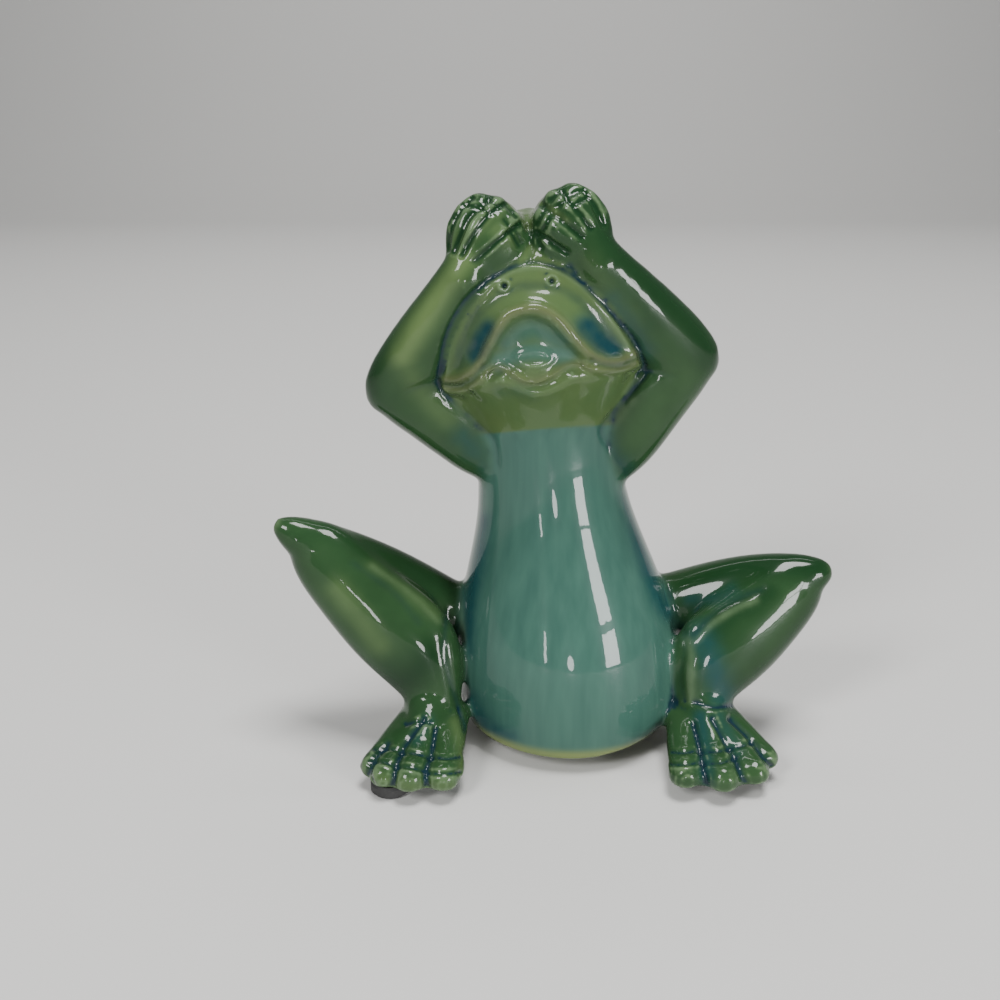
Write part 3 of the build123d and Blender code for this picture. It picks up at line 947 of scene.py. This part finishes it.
def colour_mix(tree, share, first, second, place):
    mix = node(tree, "ShaderNodeMix", place, data_type="RGBA")
    for value, index in zip((share, first, second), mix_inputs):
        put(tree, value, mix.inputs[index])
    return mix.outputs[mix_result]


def sum_of(tree, kind, place, values, clamp=True):
    """One sum of two or three values; with clamp it is kept between 0 and 1."""
    made = node(tree, "ShaderNodeMath", place, operation=kind, use_clamp=clamp)
    for value, socket in zip(values, made.inputs):
        put(tree, value, socket)
    return made.outputs[0]


def noise(tree, spot, place, size, detail, stretch=(1.0, 1.0, 1.0)):
    """Soft random clouds; size is the metres from one cloud to the next."""
    turned = node(tree, "ShaderNodeMapping", (place[0] - 200, place[1]))
    turned.inputs["Scale"].default_value = stretch
    tree.links.new(spot, turned.inputs["Vector"])
    clouds = node(tree, "ShaderNodeTexNoise", place)
    clouds.inputs["Scale"].default_value = 1.0 / size
    clouds.inputs["Detail"].default_value = detail
    tree.links.new(turned.outputs[0], clouds.inputs["Vector"])
    return clouds.outputs["Fac"]


def add_bump(tree, shader, heights, place, strength, depth):
    """Make the surface uneven, by depth metres at most."""
    bump = node(tree, "ShaderNodeBump", place)
    bump.inputs["Strength"].default_value = strength
    bump.inputs["Distance"].default_value = depth
    tree.links.new(heights, bump.inputs["Height"])
    tree.links.new(bump.outputs["Normal"], shader.inputs["Normal"])
    return bump.outputs["Normal"]


def broken_edge(tree, mask, clouds, place):
    """A painted mask whose edge runs in and out with the clouds."""
    shift = sum_of(tree, "MULTIPLY_ADD", place, (clouds, edge_break, -edge_break / 2), clamp=False)
    moved = sum_of(tree, "ADD", (place[0] + 160, place[1]), (mask, shift), clamp=False)
    return sum_of(tree, "MULTIPLY", (place[0] + 320, place[1]), (moved, mask))


def glaze_material():
    """Thick glossy glaze: navy where it pools, dark where it is thick, pale where it breaks over edges,
    with painted shade darkening the nostrils, the hands' grooves and the crown between the hands.
    """
    material, tree, shader = new_material("glaze", glaze_finish)
    spot = node(tree, "ShaderNodeTexCoord", (-2400, 0)).outputs["Object"]
    wide_clouds = noise(tree, spot, (-2000, 500), size=0.016, detail=3.0)
    small_clouds = noise(tree, spot, (-2000, 250), size=0.0035, detail=4.0)
    runs = noise(tree, spot, (-2000, 0), size=0.0030, detail=2.0, stretch=(1.0, 1.0, 0.10))
    green = colour_mix(tree, wide_clouds, deep_green, mid_green, (-1500, 500))
    olive = broken_edge(tree, painted(tree, "olive", (-1700, 380)), wide_clouds, (-1500, 340))
    green = colour_mix(tree, olive, green, thin_green, (-1200, 500))
    green = colour_mix(tree, painted(tree, "shade", (-1700, 180)), green, deep_green, (-1000, 500))
    bib = colour_mix(tree, runs, bib_dark, bib_light, (-1500, 0))
    head = colour_mix(tree, wide_clouds, head_olive, head_green, (-1500, -200))
    trunk = colour_mix(tree, painted(tree, "bib", (-1500, 150)), head, bib, (-1200, 0))
    base = colour_mix(tree, painted(tree, "limb", (-1200, 250)), trunk, green, (-800, 300))
    layers = (
        ("blue", small_clouds, blue_green),
        ("rim", wide_clouds, rim_olive),
        ("lip", None, lip_glaze),
        ("thin", small_clouds, pale_glaze),
        # pooled glaze, and painted shade in the nostrils
        ("pooled_glaze_and_shade", small_clouds, navy_glaze_and_shade),
    )
    for turn, (name, clouds, colour) in enumerate(layers):
        share = painted(tree, name, (-1400, -400 - 200 * turn))
        if clouds is not None:
            share = broken_edge(tree, share, clouds, (-1200, -400 - 200 * turn))
        base = colour_mix(tree, share, base, colour, (-600 + 200 * turn, 300))
    tree.links.new(base, shader.inputs["Base Color"])
    waves = noise(tree, spot, (-800, -500), size=0.010, detail=1.0)
    uneven = add_bump(tree, shader, waves, (-300, -400), strength=0.20, depth=0.25 * mm)
    tree.links.new(uneven, shader.inputs["Coat Normal"])
    shader.location = (600, 300)
    tree.nodes["Material Output"].location = (900, 300)
    return material


def rubber_material():
    material, tree, shader = new_material("black_rubber", {"Roughness": 0.7})
    spot = node(tree, "ShaderNodeTexCoord", (-1100, 0)).outputs["Object"]
    grain = noise(tree, spot, (-700, 0), size=0.0007, detail=4.0)
    colour = colour_mix(tree, grain, rubber_dark, rubber_light, (-400, 100))
    tree.links.new(colour, shader.inputs["Base Color"])
    add_bump(tree, shader, grain, (-300, -200), strength=0.4, depth=0.05 * mm)
    return material


# Floor and light

def make_floor():
    """A pale floor that curves up into a backdrop."""
    bm = bmesh.new()
    bmesh.ops.create_grid(bm, x_segments=1, y_segments=1, size=floor_reach)
    back = [edge for edge in bm.edges if all(vertex.co.y > 0 for vertex in edge.verts)]
    moves = []
    for turn in range(backdrop_steps):
        angle = math.radians(90.0) / backdrop_steps * (turn + 0.5)
        moves.append(Vector((0.0, math.cos(angle), math.sin(angle))) * backdrop_bend)
    moves.append(Vector((0.0, 0.0, floor_reach)))
    for move in moves:
        grown = bmesh.ops.extrude_edge_only(bm, edges=back)["geom"]
        verts = only(grown, bmesh.types.BMVert)
        bmesh.ops.translate(bm, verts=verts, vec=move)
        edges = only(grown, bmesh.types.BMEdge)
        back = [edge for edge in edges if all(vertex in verts for vertex in edge.verts)]
    for face in bm.faces:
        face.smooth = True
    floor = mesh_object(bm, "floor")
    floor.data.materials.append(new_material("pale_floor", floor_finish)[0])


def make_lights():
    for name, place, aim, width, height, power, shape in lights:
        light = bpy.data.lights.new(name, "AREA")
        light.shape = shape
        light.size = width
        light.size_y = height
        light.energy = power
        holder = scene_object(name, light)
        holder.location = place
        holder.rotation_euler = (Vector(aim) - Vector(place)).to_track_quat("-Z", "Y").to_euler()
    world = bpy.data.worlds.new("studio")
    bpy.context.scene.world = world
    world.use_nodes = True
    background = world.node_tree.nodes["Background"]
    background.inputs["Color"].default_value = world_colour
    background.inputs["Strength"].default_value = world_strength


make_camera()
raw = joined_castings()
skin = smooth_skin(raw)
shares = casting_shares(skin)
zones = carve_skin(skin, shares)
normals = skin.normals()
paint_skin(skin, shares, normals, *zones)

owners = owners_of_faces(skin, shares)
glaze = glaze_material()
for name in castings:
    part_casting(skin, name, owners, normals).data.materials.append(glaze)
bpy.data.objects.remove(raw)

rubber = rubber_material()
for name in pads:
    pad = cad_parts[name]
    pad.data.materials.clear()
    pad.data.materials.append(rubber)

make_floor()
make_lights()
